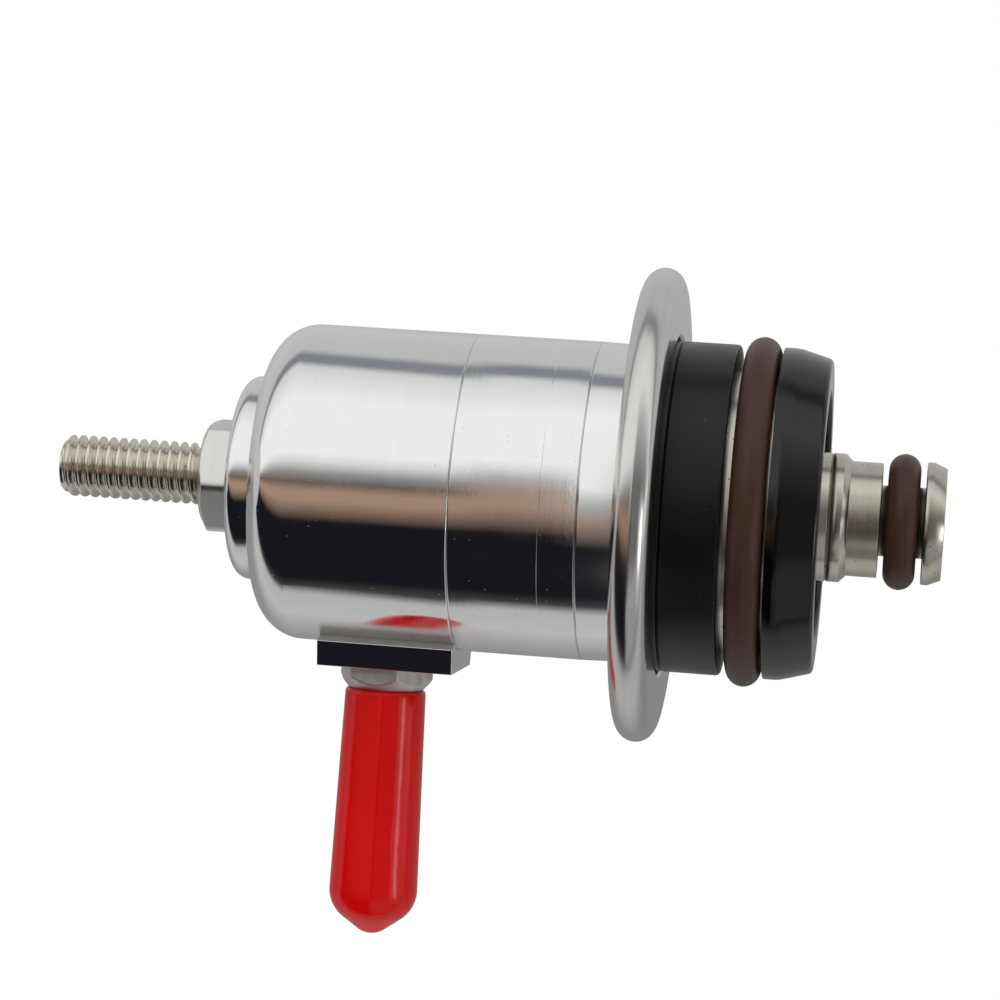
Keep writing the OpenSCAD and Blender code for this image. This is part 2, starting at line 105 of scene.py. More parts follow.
class Finish:
    """The nodes of one material, or of the world."""

    def __init__(self, owner):
        owner.use_nodes = True
        self.owner = owner
        self.tree = owner.node_tree
        self.tree.nodes.clear()

    def node(self, kind, settings=None, sockets=None, out=0):
        made = self.tree.nodes.new("ShaderNode" + kind)
        for key, value in (settings or {}).items():
            if key == "stops":
                self._set_stops(made.color_ramp, value)
            else:
                setattr(made, key, value)
        for key, value in (sockets or {}).items():
            if isinstance(value, Value):
                self.tree.links.new(value.socket, made.inputs[key])
            else:
                made.inputs[key].default_value = value
        return Value(self, made.outputs[out]) if made.outputs else made

    @staticmethod
    def _set_stops(ramp, stops):
        while len(ramp.elements) < len(stops):
            ramp.elements.new(1.0)
        for element, (place, colour) in zip(ramp.elements, stops):
            element.position = place
            element.color = colour

    def place(self):
        return self.node("TexCoord", out="Object")

    def part_of(self, vector, axis):
        return self.node("SeparateXYZ", {}, {0: vector}, out=axis)

    def noise(self, vector, scale, detail=2.0, roughness=0.5):
        sockets = {"Vector": vector, "Scale": scale, "Detail": detail, "Roughness": roughness}
        return self.node("TexNoise", {}, sockets)

    def stretched(self, vector, scale):
        return self.node("Mapping", {}, {"Vector": vector, "Scale": scale})

    def fade(self, value, low, high, to_low=0.0, to_high=1.0):
        sockets = {"Value": value, "From Min": low, "From Max": high, "To Min": to_low, "To Max": to_high}
        return self.node("MapRange", {"clamp": True}, sockets)

    def blend(self, share, first, second):
        return self.node("Mix", {"data_type": "RGBA"}, {0: share, 6: first, 7: second}, out=2)

    def turning(self, vector):
        """Coordinates that are the same all round X: the place along it, and the distance from it."""
        along = self.part_of(vector, "X")
        across = [self.part_of(vector, axis) for axis in "YZ"]
        flat = self.node("CombineXYZ", {}, {1: across[0], 2: across[1]})
        radius = self.node("VectorMath", {"operation": "LENGTH"}, {0: flat}, out="Value")
        return self.node("CombineXYZ", {}, {0: along, 1: radius})

    def specks(self, vector, spacing_mm, size, share):
        """A mask of small scattered specks: one cell in 1/share holds a speck of that size, in cells."""
        cells = {"Vector": vector, "Scale": 1 / (spacing_mm * MM), "Randomness": 1.0}
        near = self.node("TexVoronoi", {"feature": "F1"}, cells, out="Distance")
        pick = self.node("TexVoronoi", {"feature": "F1"}, cells, out="Color")
        return (near < size) * (self.part_of(pick, "X") < share)

    def bump(self, height, depth_mm, normal=None):
        sockets = {"Height": height, "Distance": depth_mm * MM, "Strength": 1.0}
        if normal is not None:
            sockets["Normal"] = normal
        return self.node("Bump", {}, sockets)

    def surface(self, **sockets):
        named = {key.replace("_", " "): value for key, value in sockets.items()}
        shader = self.node("BsdfPrincipled", {}, named)
        self.node("OutputMaterial", {}, {"Surface": shader})
        return self.owner


def new_finish(name):
    return Finish(bpy.data.materials.new(name))


def rgb(red, green, blue):
    return (red, green, blue, 1.0)


# Finishes


POLISHED = (0.84, 0.84, 0.835)
POLISHED_ROUGH = 0.07
DULL_ROUGH = 0.3
DULL_FADE = 1.8
PIT_COLOUR = (0.05, 0.045, 0.04)
DUST_COLOUR = (0.62, 0.6, 0.57)
COLLAR_END = -3.9
PAD_SIDE_TOP = -14.5


def turned_metal(
    name,
    light,
    dark,
    rough,
    marks_mm,
    mark_depth_mm,
    pits=0.0,
    dust=0.0,
    peel_mm=0.0,
    bright_to=None,
    dull_under=None,
):
    """Metal with fine marks that run round X, dark pits, pale dust and a fine orange peel.

    Up to bright_to, a place along X in millimetres, it is polished like the body instead. Under dull_under, a
    height in millimetres, it is less polished.
    """
    f = new_finish(name)
    here = f.place()
    rings = f.turning(here)
    per_mark = 1 / (marks_mm * MM)
    fine = f.noise(f.stretched(rings, (per_mark, per_mark, 1)), 1.0, 3.0, 0.6)
    broad = f.noise(f.stretched(rings, (900, 900, 1)), 1.0, 2.0)
    cloud = f.noise(here, 260.0, 3.0)
    share = f.fade(broad * 0.5 + cloud * 0.5, 0.35, 0.65)
    colour = f.blend(share, rgb(*dark), rgb(*light))
    roughness = rough + f.fade(fine, 0.3, 0.7, -0.02, 0.03) + f.fade(cloud, 0.35, 0.7, -0.015, 0.03)
    height = fine
    if pits:
        holes = f.specks(here, 0.55, 0.16, pits)
        colour = f.blend(holes * 0.75, colour, rgb(*PIT_COLOUR))
        roughness = roughness + holes * 0.3
        height = height - holes * 3.0
    if dust:
        grains = f.specks(here, 0.7, 0.09, dust)
        colour = f.blend(grains * 0.5, colour, rgb(*DUST_COLOUR))
        roughness = roughness + grains * 0.35
    if bright_to is not None:
        satin = f.fade(f.part_of(here, "X"), (bright_to - 0.15) * MM, (bright_to + 0.15) * MM)
        colour = f.blend(satin, rgb(*POLISHED), colour)
        roughness = (roughness - POLISHED_ROUGH) * satin + POLISHED_ROUGH
        height = height * satin
    if dull_under is not None:
        height_above = f.part_of(here, "Z")
        full = (dull_under - DULL_FADE) * MM
        roughness = roughness + f.fade(height_above, full, dull_under * MM, DULL_ROUGH, 0.0)
    normal = f.bump(height, mark_depth_mm)
    if peel_mm:
        normal = f.bump(f.noise(here, 3200.0, 1.0), peel_mm, normal)
    return f.surface(Base_Color=colour, Metallic=1.0, Roughness=roughness, Normal=normal)


def moulded_plastic(name, colour, rough, specular, grain_mm, scratches):
    """Black moulded plastic with a fine grain, dust specks and a few scratches."""
    f = new_finish(name)
    here = f.place()
    grain = f.noise(here, 1 / (grain_mm * MM), 3.0, 0.6)
    cloud = f.noise(here, 180.0, 3.0)
    lines = f.noise(f.stretched(f.turning(here), (500, 500, 1)), 1.0, 2.0)
    darker, paler = (rgb(*[c * level for c in colour]) for level in (0.8, 1.25))
    tint = f.blend(f.fade(cloud, 0.3, 0.7), darker, paler)
    worn = f.specks(f.stretched(here, (1.0, 0.35, 0.35)), 0.9, 0.07, scratches)
    dusty = f.specks(here, 0.6, 0.07, scratches)
    tint = f.blend((worn + dusty) * 0.5, tint, rgb(0.16, 0.15, 0.14))
    return f.surface(
        Base_Color=tint,
        Roughness=rough + f.fade(cloud, 0.3, 0.7, -0.05, 0.06) + worn * 0.2,
        Specular_IOR_Level=specular,
        Normal=f.bump(grain + lines * 1.5, 0.003),
    )


def seal_rubber(name, colour, rough):
    """Moulded rubber with a soft bloom and fine grain."""
    f = new_finish(name)
    here = f.place()
    grain = f.noise(here, 9000.0, 3.0, 0.6)
    cloud = f.noise(here, 240.0, 4.0)
    bloom = f.fade(cloud, 0.4, 0.75)
    tint = f.blend(bloom, rgb(*colour), rgb(*[c * 1.3 for c in colour]))
    dusty = f.specks(here, 0.8, 0.06, 0.2)
    tint = f.blend(dusty * 0.4, tint, rgb(0.25, 0.22, 0.2))
    return f.surface(
        Base_Color=tint,
        Roughness=rough + bloom * 0.1,
        Specular_IOR_Level=0.25,
        Normal=f.bump(grain, 0.006),
    )


def dipped_vinyl(name):
    """Glossy red dip-moulded vinyl with a slightly uneven skin."""
    f = new_finish(name)
    here = f.place()
    cloud = f.noise(here, 200.0, 3.0)
    sag = f.noise(f.stretched(here, (420, 420, 150)), 1.0, 2.0)
    skin = f.noise(here, 2600.0, 2.0)
    deep, bright = rgb(0.66, 0.0006, 0.0003), rgb(0.73, 0.0012, 0.0005)
    tint = f.blend(f.fade(cloud, 0.35, 0.7), deep, bright)
    return f.surface(
        Base_Color=tint,
        Roughness=0.11 + f.fade(skin, 0.3, 0.8, 0.0, 0.05),
        Specular_IOR_Level=0.35,
        Normal=f.bump(sag * 8.0 + skin, 0.006),
    )


def milled_pad(name, polished_to):
    """Metal that is polished up to a height in millimetres, and left as milled above it."""
    as_milled, milled_rough = rgb(0.95, 0.95, 0.94), 0.5
    f = new_finish(name)
    here = f.place()
    milled = f.fade(f.part_of(here, "Z"), polished_to * MM, (polished_to + 0.12) * MM)
    grain = f.noise(f.stretched(here, (300, 5000, 5000)), 1.0, 3.0)
    return f.surface(
        Base_Color=f.blend(milled, rgb(*POLISHED), as_milled),
        Metallic=1.0,
        Roughness=milled * milled_rough + POLISHED_ROUGH,
        Normal=f.bump(grain * milled, 0.004),
    )


def machined_zinc(name):
    """Plated steel whose flats were machined a little uneven, so that they mirror softly."""
    f = new_finish(name)
    here = f.place()
    waves = f.noise(f.stretched(here, (520, 520, 260)), 1.0, 1.0)
    grain = f.noise(here, 5000.0, 3.0)
    cloud = f.noise(here, 400.0, 3.0)
    dark, light = rgb(0.7, 0.695, 0.68), rgb(0.78, 0.775, 0.76)
    return f.surface(
        Base_Color=f.blend(f.fade(cloud, 0.35, 0.65), dark, light),
        Metallic=1.0,
        Roughness=0.5 + f.fade(cloud, 0.3, 0.7, 0.0, 0.06),
        Normal=f.bump(grain, 0.001, f.bump(waves, 0.3)),
    )


ALUMINIUM = turned_metal(
    "polished_aluminium",
    light=POLISHED,
    dark=(0.81, 0.81, 0.805),
    rough=POLISHED_ROUGH,
    marks_mm=0.16,
    mark_depth_mm=0.0006,
    dust=0.25,
    peel_mm=0.001,
    dull_under=-11.7,
)
SATIN_STEEL = turned_metal(
    "satin_steel", (0.72, 0.71, 0.69), (0.63, 0.62, 0.6), 0.18, 0.22, 0.004, bright_to=COLLAR_END
)
CUP_STEEL = turned_metal("cup_steel", (0.6, 0.575, 0.51), (0.52, 0.495, 0.43), 0.15, 0.2, 0.002, pits=0.1)
NICKEL = turned_metal("nickel_steel", (0.6, 0.57, 0.495), (0.53, 0.5, 0.43), 0.19, 0.15, 0.0015, pits=0.2)
SCREW_STEEL = turned_metal("screw_steel", (0.78, 0.745, 0.66), (0.66, 0.625, 0.54), 0.15, 0.1, 0.001, pits=0.03)
ZINC = turned_metal("zinc_steel", (0.78, 0.775, 0.755), (0.7, 0.695, 0.67), 0.34, 0.25, 0.0015, pits=0.04)
MILLED_PAD = milled_pad("milled_pad", PAD_SIDE_TOP)
NIPPLE_ZINC = machined_zinc("machined_zinc")
INNER_STEEL = turned_metal("inner_steel", (0.5, 0.5, 0.48), (0.42, 0.42, 0.4), 0.3, 0.25, 0.003)
SPRING_STEEL = turned_metal("spring_steel", (0.36, 0.36, 0.35), (0.28, 0.28, 0.27), 0.35, 0.3, 0.003)
SCREEN_WIRE = turned_metal("screen_wire", (0.5, 0.48, 0.42), (0.4, 0.38, 0.33), 0.3, 0.2, 0.001)
MATTE_BLACK = moulded_plastic("matte_black_plastic", (0.003, 0.0025, 0.0025), 0.3, 0.34, 0.12, 0.3)
SATIN_BLACK = moulded_plastic("satin_black_plastic", (0.0016, 0.0012, 0.0012), 0.13, 0.5, 0.2, 0.12)
BLACK_RUBBER = seal_rubber("black_rubber", (0.02, 0.018, 0.017), 0.55)
BROWN_RUBBER = seal_rubber("brown_rubber", (0.05, 0.023, 0.016), 0.36)
RED_VINYL = dipped_vinyl("red_vinyl")


# Mesh helpers


def arc(along, out, radius, start, end, steps=10):
    """Points of a profile on an arc, as (place along the axis, radius), between two angles in degrees."""
    turns = [math.radians(start + (end - start) * i / steps) for i in range(steps + 1)]
    return [(along + radius * math.cos(t), out + radius * math.sin(t)) for t in turns]


def scribed(start, out, width, depth, slope=0.04):
    """Points of a profile across a fine turned line."""
    floor = out - depth
    return [(start, out), (start + slope, floor), (start + width - slope, floor), (start + width, out)]


def spun(outline, centre=(0, 0), axis="X", steps=240, closed=True):
    """A profile of (place along the axis, radius) turned once round, as a bmesh."""
    bm = bmesh.new()
    if axis == "X":
        points = [(along, centre[0], centre[1] + out) for along, out in outline]
        middle, line = Vector((0, centre[0], centre[1])), AXIS_X
    else:
        points = [(centre[0] + out, centre[1], along) for along, out in outline]
        middle, line = Vector((centre[0], centre[1], 0)), AXIS_Z
    ring = [bm.verts.new(Vector(p) * MM) for p in points]
    pairs = zip(ring, ring[1:] + ring[:1]) if closed else zip(ring, ring[1:])
    edges = [bm.edges.new(pair) for pair in pairs]
    bmesh.ops.spin(
        bm,
        geom=ring + edges,
        cent=middle * MM,
        axis=line,
        dvec=(0, 0, 0),
        angle=math.tau,
        steps=steps,
        use_merge=True,
        use_normal_flip=False,
        use_duplicate=False,
    )
    bmesh.ops.remove_doubles(bm, verts=bm.verts, dist=SAME_PLACE)
    bmesh.ops.dissolve_degenerate(bm, edges=bm.edges, dist=NO_LENGTH)
    bmesh.ops.recalc_face_normals(bm, faces=bm.faces)
    return bm


def break_edges(bm, size, angle=32, segments=2):
    """Rounds every edge that is sharper than an angle."""
    limit = math.radians(angle)
    sharp = [e for e in bm.edges if e.is_manifold and e.calc_face_angle(0.0) > limit]
    bmesh.ops.bevel(
        bm,
        geom=sharp,
        offset=size * MM,
        offset_type="OFFSET",
        segments=segments,
        profile=0.5,
        affect="EDGES",
        clamp_overlap=True,
        material=-1,
    )
    return bm


def even_out(obj):
    """Evens out the shading round the rounded edges."""
    weighted = obj.modifiers.new("even_normals", "WEIGHTED_NORMAL")
    weighted.keep_sharp = True
    weighted.weight = 100


def piece(name, bm, body, finish, stands_for=(), even_normals=True):
    """Makes a bmesh an object of the part that rides on a body, or on none."""
    mesh = bpy.data.meshes.new(name)
    bm.to_mesh(mesh)
    bm.free()
    mesh.shade_smooth()
    mesh.set_sharp_from_angle(angle=SHARP_ANGLE)
    mesh.materials.append(finish)
    obj = bpy.data.objects.new(name, mesh)
    bpy.context.scene.collection.objects.link(obj)
    if even_normals:
        even_out(obj)
    if body:
        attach(obj, body)
    if stands_for:
        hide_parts(*stands_for)
    return obj


def soft_min(first, second, round_mm):
    """The smaller of two sizes, with the change from one to the other rounded."""
    share = max(0.0, min(1.0, 0.5 + 0.5 * (second - first) / round_mm))
    return second + (first - second) * share - round_mm * share * (1.0 - share)


def cut_hexagon(bm, across_flats, turn, inside, round_mm, axis, centre=(0.0, 0.0)):
    """Draws a turned blank in to the flats of a hexagon, where it lies outside a radius."""
    for v in bm.verts:
        if axis == "X":
            first, second = v.co.y / MM - centre[0], v.co.z / MM - centre[1]
        else:
            first, second = v.co.x / MM - centre[0], v.co.y / MM - centre[1]
        radius = math.hypot(first, second)
        if radius < inside:
            continue
        around = math.degrees(math.atan2(second, first)) - turn
        off_flat = (around + 30.0) % 60.0 - 30.0
        flat = across_flats / 2 / math.cos(math.radians(off_flat))
        scale = soft_min(radius, flat, round_mm) / radius
        if axis == "X":
            v.co.y, v.co.z = (centre[0] + first * scale) * MM, (centre[1] + second * scale) * MM
        else:
            v.co.x, v.co.y = (centre[0] + first * scale) * MM, (centre[1] + second * scale) * MM
    return bm


def between(low, high, steps):
    """Evenly spread numbers, both ends included."""
    return [low + (high - low) * i / steps for i in range(steps + 1)]


# Sizes and places in millimetres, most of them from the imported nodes


def reach(node):
    """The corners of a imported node's box, in millimetres."""
    low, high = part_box(node)
    return low / MM, high / MM


cover_low, cover_high = reach("upper_cover")
sleeve_high = reach("body_sleeve")[1]
shell_high = reach("clamp_shell")[1]
screw_low, screw_high = reach("adjusting_screw")
nut_low, nut_high = reach("lock_nut")
cup_low, cup_high = reach("base_cup")
stem_low, stem_high = reach("outlet_stem")
front_low, front_high = reach("front_support_ring")
rear_low, rear_high = reach("rear_support_ring")
large_low, large_high = reach("large_seal_ring")
small_low, small_high = reach("small_seal_ring")
screen_low, screen_high = reach("inlet_screen")
nipple_low, nipple_high = reach("vacuum_nipple")
cap_low, cap_high = reach("protective_cap")

BODY_R = cover_high.z
SEAM_A = cover_high.x
SEAM_B = sleeve_high.x
BOSS = cover_low.x
SHOULDER = BOSS + 2.7
BOSS_R = 9.7
BOSS_ROUND = 1.3
SHOULDER_ROUND = 4.2
CHAMBER_R = 11.8
CHAMBER_END = SHOULDER + 1.7
JOINT_R = 13.6
SPIGOT = 3.2
JOINT_SLACK = 0.2
SCREW_HOLE_R = 3.0
EDGE = 0.09
FIT = 0.02


# Housing: cover, port pad, sleeve and clamp shell


def make_cover():
    fillet, lead, chamber_bevel = 0.45, 0.35, 2.0
    bm = spun(
        [
            (BOSS, SCREW_HOLE_R + lead),
            *arc(BOSS + BOSS_ROUND, BOSS_R - BOSS_ROUND, BOSS_ROUND, 180, 90, 16),
            *arc(SHOULDER - fillet, BOSS_R + fillet, fillet, 270, 360, 6),
            *arc(SHOULDER + SHOULDER_ROUND, BODY_R - SHOULDER_ROUND, SHOULDER_ROUND, 180, 90, 28),
            (SEAM_A - EDGE, BODY_R),
            (SEAM_A, BODY_R - EDGE),
            (SEAM_A, JOINT_R),
            (SEAM_A - SPIGOT - JOINT_SLACK, JOINT_R),
            (SEAM_A - SPIGOT - JOINT_SLACK, CHAMBER_R),
            (CHAMBER_END + chamber_bevel, CHAMBER_R),
            (CHAMBER_END, CHAMBER_R - chamber_bevel),
            (CHAMBER_END, SCREW_HOLE_R),
            (BOSS + lead, SCREW_HOLE_R),
        ],
        steps=288,
    )
    piece("cover", break_edges(bm, 0.05), "housing", ALUMINIUM, ["upper_cover"])


def make_port_pad():
    """The flat that the nipple screws into, sunk in the cover's wall."""
    side, draft, bevel = 2.4, math.radians(15), math.radians(20)
    face, side_low, root = cover_low.z, cover_low.z + side, -JOINT_R - 0.1
    length, half = 12.8, 5.8
    side_half = half + side * math.tan(draft)
    root_half = side_half - (root - side_low) / math.tan(bevel)
    section = [
        (-half, face),
        (half, face),
        (side_half, side_low),
        (root_half, root),
        (-root_half, root),
        (-side_half, side_low),
    ]
    bm = bmesh.new()
    corners = [bm.verts.new(Vector((SEAM_A - length, y, z)) * MM) for y, z in section]
    end = bm.faces.new(corners)
    grown = bmesh.ops.extrude_face_region(bm, geom=[end])["geom"]
    moved = [v for v in grown if isinstance(v, bmesh.types.BMVert)]
    bmesh.ops.translate(bm, verts=moved, vec=Vector((length, 0, 0)) * MM)
    bmesh.ops.recalc_face_normals(bm, faces=bm.faces)
    piece("port_pad", break_edges(bm, 0.08, 20, 3), "housing", MILLED_PAD)


def make_sleeve():
    groove_mid, groove_half, groove_r = SEAM_A - SPIGOT / 2, 0.6, JOINT_R - 0.97
    mark, mark_half, mark_depth = SEAM_B - SPIGOT - JOINT_SLACK, 0.05, 0.015
    bm = spun(
        [
            (SEAM_A, BODY_R - EDGE),
            (SEAM_A + EDGE, BODY_R),
            (mark - mark_half, BODY_R),
            (mark, BODY_R - mark_depth),
            (mark + mark_half, BODY_R),
            (SEAM_B - EDGE, BODY_R),
            (SEAM_B, BODY_R - EDGE),
            (SEAM_B, JOINT_R),
            (SEAM_B - SPIGOT - JOINT_SLACK, JOINT_R),
            (SEAM_B - SPIGOT - JOINT_SLACK, CHAMBER_R),
            (SEAM_A - SPIGOT, CHAMBER_R),
            (SEAM_A - SPIGOT, JOINT_R - FIT),
            (groove_mid - groove_half, JOINT_R - FIT),
            (groove_mid - groove_half, groove_r),
            (groove_mid + groove_half, groove_r),
            (groove_mid + groove_half, JOINT_R - FIT),
            (SEAM_A, JOINT_R - FIT),
        ],
        steps=288,
    )
    piece("sleeve", break_edges(bm, 0.05), "housing", ALUMINIUM, ["body_sleeve"])


def make_clamp_shell():
    rim = 3.5
    half = rim / 2
    rim_r = shell_high.z - half
    collar_r = BODY_R - 0.1
    fillet, wall, step = 0.6, 0.9, 0.5
    hem_r, hem, hem_round, bore = 15.9, 1.1, 0.35, 13.0
    bm = spun(
        [
            (SEAM_B, BODY_R - EDGE),
            (SEAM_B + EDGE, BODY_R),
            *arc(-rim - fillet, collar_r + fillet, fillet, 270, 360, 8),
            *arc(-half, rim_r, half, 180, 0, 40),
            *arc(-hem_round, hem_r + hem_round, hem_round, 0, -90, 5),
            (-hem, hem_r),
            (-hem, rim_r),
            (-rim + wall, rim_r),
            (-rim + wall, bore),
            (SEAM_B + step, bore),
            (SEAM_B + step, CHAMBER_R),
            (SEAM_B - SPIGOT, CHAMBER_R),
            (SEAM_B - SPIGOT, JOINT_R - FIT),
            (SEAM_B, JOINT_R - FIT),
        ],
        steps=288,
    )
    piece("clamp_shell_smooth", break_edges(bm, 0.05), "housing", SATIN_STEEL, ["clamp_shell"])


# Adjuster: screw with its thread, and lock nut


def make_adjusting_screw():
    pitch, steps, phase, seam = 1.0, 48, 0.56, 2e-6
    crest, root = screw_high.z, screw_high.z - 0.55
    tip, end = screw_low.x, screw_high.x
    tooth = [
        (0.0, root + 0.03),
        (0.07, root),
        (0.13, root + 0.03),
        (0.36, crest - 0.09),
        (0.42, crest - 0.02),
        (0.5, crest),
        (0.58, crest),
        (0.66, crest - 0.02),
        (0.72, crest - 0.09),
        (0.95, root + 0.06),
        (pitch, root + 0.03),
    ]
    turns = math.ceil((end - tip) / pitch) + 3
    bm = bmesh.new()
    line = [bm.verts.new(Vector((tip - 1.5 * pitch + phase + x, 0, r)) * MM) for x, r in tooth]
    edges = [bm.edges.new(pair) for pair in zip(line, line[1:])]
    bmesh.ops.spin(
        bm,
        geom=line + edges,
        cent=(0, 0, 0),
        axis=AXIS_X,
        dvec=Vector((pitch / steps, 0, 0)) * MM,
        angle=math.tau * turns,
        steps=steps * turns,
        use_merge=False,
        use_normal_flip=False,
        use_duplicate=False,
    )
    bmesh.ops.remove_doubles(bm, verts=bm.verts, dist=seam)
    for place, side in ((tip, -1), (end, 1)):
        everything = bm.verts[:] + bm.edges[:] + bm.faces[:]
        bmesh.ops.bisect_plane(
            bm,
            geom=everything,
            dist=NO_LENGTH,
            plane_co=Vector((place, 0, 0)) * MM,
            plane_no=AXIS_X * side,
            clear_outer=True,
        )
    chamfer, chamfer_round = 0.62, 0.12
    for v in bm.verts:
        depth = min(v.co.x / MM - tip, end - v.co.x / MM)
        radius = math.hypot(v.co.y, v.co.z) / MM
        limit = crest - chamfer + depth
        scale = soft_min(radius, limit, chamfer_round) / radius
        v.co.y *= scale
        v.co.z *= scale
    close_screw_ends(bm, tip, end)
    bmesh.ops.recalc_face_normals(bm, faces=bm.faces)
    piece("threaded_screw", bm, "adjuster", SCREW_STEEL, ["adjusting_screw"], even_normals=False)


def close_screw_ends(bm, tip, end):
    """Closes the inner end flat, and the outer end round a hexagonal key socket."""
    slack = 1e-3
    outer = [e for e in bm.edges if e.is_boundary and abs(e.verts[0].co.x / MM - tip) < slack]
    inner = [e for e in bm.edges if e.is_boundary and abs(e.verts[0].co.x / MM - end) < slack]
    bmesh.ops.triangle_fill(bm, use_beauty=True, use_dissolve=False, edges=inner)
    key, key_depth, drill_tip = 3.0 / math.sqrt(3.0), 3.2, 0.6
    placed = Matrix.Translation(Vector((tip, 0, 0)) * MM) @ Matrix.Rotation(math.pi / 2, 4, "Y")
    ring = bmesh.ops.create_circle(bm, cap_ends=False, segments=6, radius=key * MM, matrix=placed)["verts"]
    mouth = [e for e in bm.edges if e.verts[0] in ring and e.verts[1] in ring]
    bmesh.ops.triangle_fill(bm, use_beauty=True, use_dissolve=False, edges=outer + mouth)
    walls = bmesh.ops.extrude_edge_only(bm, edges=mouth)["geom"]
    deep = [v for v in walls if isinstance(v, bmesh.types.BMVert)]
    bmesh.ops.translate(bm, verts=deep, vec=Vector((key_depth, 0, 0)) * MM)
    floor = [e for e in walls if isinstance(e, bmesh.types.BMEdge) and e.is_boundary]
    bottom = bmesh.ops.edgeloop_fill(bm, edges=floor)["faces"]
    cone = bmesh.ops.poke(bm, faces=bottom)["verts"]
    bmesh.ops.translate(bm, verts=cone, vec=Vector((drill_tip, 0, 0)) * MM)


def make_lock_nut():
    across, turn, corner_round, lead = 10.0, 21.0, 0.22, 0.4
    bore, flats_from = SCREW_HOLE_R, 4.4
    low, high = nut_low.x, nut_high.x
    corner = across / math.sqrt(3.0) - 0.1
    washer_r = across / 2 * 0.92
    slope = math.tan(math.radians(30))
    places = between(low, high, 36)
    outline = [(x, min(corner, washer_r + min(x - low, high - x) / slope)) for x in places]
    outline += [(high, bore + lead), (high - lead, bore), (low + lead, bore), (low, bore + lead)]
    bm = spun(outline, steps=360)
    cut_hexagon(bm, across, -turn, flats_from, corner_round, "X")
    piece("hex_lock_nut", bm, "lock_nut", ZINC, ["lock_nut"])


# Rail end: base cup, stem, support rings, seals and screen


def make_base_cup():
    wall, end, neck_r, bore = 0.9, 13.14, 6.0, 5.37
    neck_end = cup_high.x
    cup_r, inside, rim_r = 13.1, 12.2, 20.4
    back, face = cup_low.x, cup_low.x + wall
    line, line_width, line_depth = end + 1.64, 0.14, 0.12
    end_round, chamfer = 0.8, 0.62
    bm = spun(
        [
            (back, inside),
            (back, rim_r),
            (face, rim_r),
            (face, cup_r),
            *arc(end - end_round, cup_r - end_round, end_round, 90, 0, 8),
            (end, neck_r),
            *scribed(line, neck_r, line_width, line_depth),
            (neck_end - chamfer, neck_r),
            (neck_end - 0.05, bore + 0.05),
            (neck_end, bore),
            (end - wall, bore),
            (end - wall, inside),
        ],
        steps=240,
    )
    break_edges(bm, 0.05)
    cup = piece("drawn_cup", bm, "housing", CUP_STEEL, ["base_cup"])
    drill_inlets(cup, (neck_r + inside) / 2, end, wall)


def drill_inlets(cup, hole_circle, end, wall):
    """Cuts the inlet holes through the cup's end."""
    count, hole_r = 6, 1.6
    bm = bmesh.new()
    for i in range(count):
        turn = Matrix.Rotation(math.tau * i / count, 4, "X")
        place = turn @ Matrix.Translation(Vector((end - wall / 2, 0, hole_circle)) * MM)
        bmesh.ops.create_cone(
            bm,
            cap_ends=True,
            segments=48,
            radius1=hole_r * MM,
            radius2=hole_r * MM,
            depth=3 * wall * MM,
            matrix=place @ Matrix.Rotation(math.pi / 2, 4, "Y"),
        )
    mesh = bpy.data.meshes.new("inlet_drill")
    bm.to_mesh(mesh)
    bm.free()
    drill = bpy.data.objects.new("inlet_drill", mesh)
    bpy.context.scene.collection.objects.link(drill)
    cut = cup.modifiers.new("inlets", "BOOLEAN")
    cut.operation = "DIFFERENCE"
    cut.solver = "EXACT"
    cut.object = drill
    cup.modifiers.remove(cup.modifiers["even_normals"])
    whole = cup.evaluated_get(bpy.context.evaluated_depsgraph_get())
    drilled = bpy.data.meshes.new_from_object(whole)
    cup.modifiers.clear()
    cup.data = drilled
    drilled.set_sharp_from_angle(angle=SHARP_ANGLE)
    even_out(cup)
    bpy.data.objects.remove(drill)


def make_outlet_stem():
    stem_r, groove_r, tip_r, outlet_r = 5.35, 3.3, stem_high.z, 2.0
    inner, end = stem_low.x, stem_high.x
    groove_low, groove_high = end - 5.9, end - 1.85
    seat_wall, cone, mouth = 0.9, 2.5, 0.5
    bm = spun(
        [
            (inner, outlet_r),
            (inner, outlet_r + seat_wall),
            (inner + cone, stem_r),
            (groove_low, stem_r),
            (groove_low, groove_r),
            (groove_high, groove_r),
            (groove_high, tip_r - 0.1),
            (groove_high + 0.1, tip_r),
            (groove_high + 0.62, tip_r),
            (groove_high + 0.72, tip_r - 0.02),
            (end, tip_r - 0.5),
            (end, outlet_r + mouth),
            (end - mouth, outlet_r),
        ],
        steps=240,
    )
    piece("turned_stem", break_edges(bm, 0.07), "housing", NICKEL, ["outlet_stem"])


